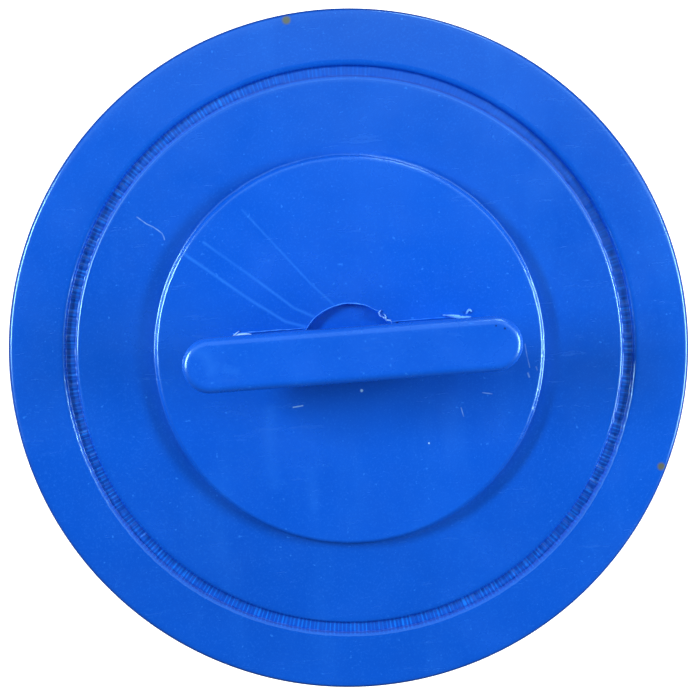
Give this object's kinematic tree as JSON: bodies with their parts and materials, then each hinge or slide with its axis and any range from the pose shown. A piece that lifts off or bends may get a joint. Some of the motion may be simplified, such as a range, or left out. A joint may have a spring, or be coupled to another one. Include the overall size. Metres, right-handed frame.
{
  "type": "filter cartridge",
  "caption": "Cylindrical pleated pool and spa filter cartridge with cast end caps, a T-shaped handle on the closed top and a male threaded outlet at the bottom.",
  "frame": {"origin": "centre of the outlet nipple's end ring, which is also the centre of the bounding box's bottom face", "axes": "+Z along the cartridge's axis towards the handle, X along the handle"},
  "size_m": [0.216, 0.216, 0.2345],
  "materials": {
    "cast_resin": "satin cast urethane, mid blue",
    "moulded_blue": "satin moulded plastic, mid blue",
    "filter_fabric": "white spunbond polyester",
    "seam_glue": "translucent hot-melt glue",
    "band_strap": "white welded polyester strap",
    "core_plastic": "white moulded plastic"
  },
  "bodies": {
    "root": {"top_end_cap": "cast_resin", "centre_plate": "moulded_blue", "handle": "moulded_blue", "pleated_media": "filter_fabric", "media_seam": "seam_glue", "upper_band": "band_strap", "lower_band": "band_strap", "core_tube": "core_plastic", "bottom_end_cap": "cast_resin", "threaded_adapter": "moulded_blue"}
  },
  "joints": []
}
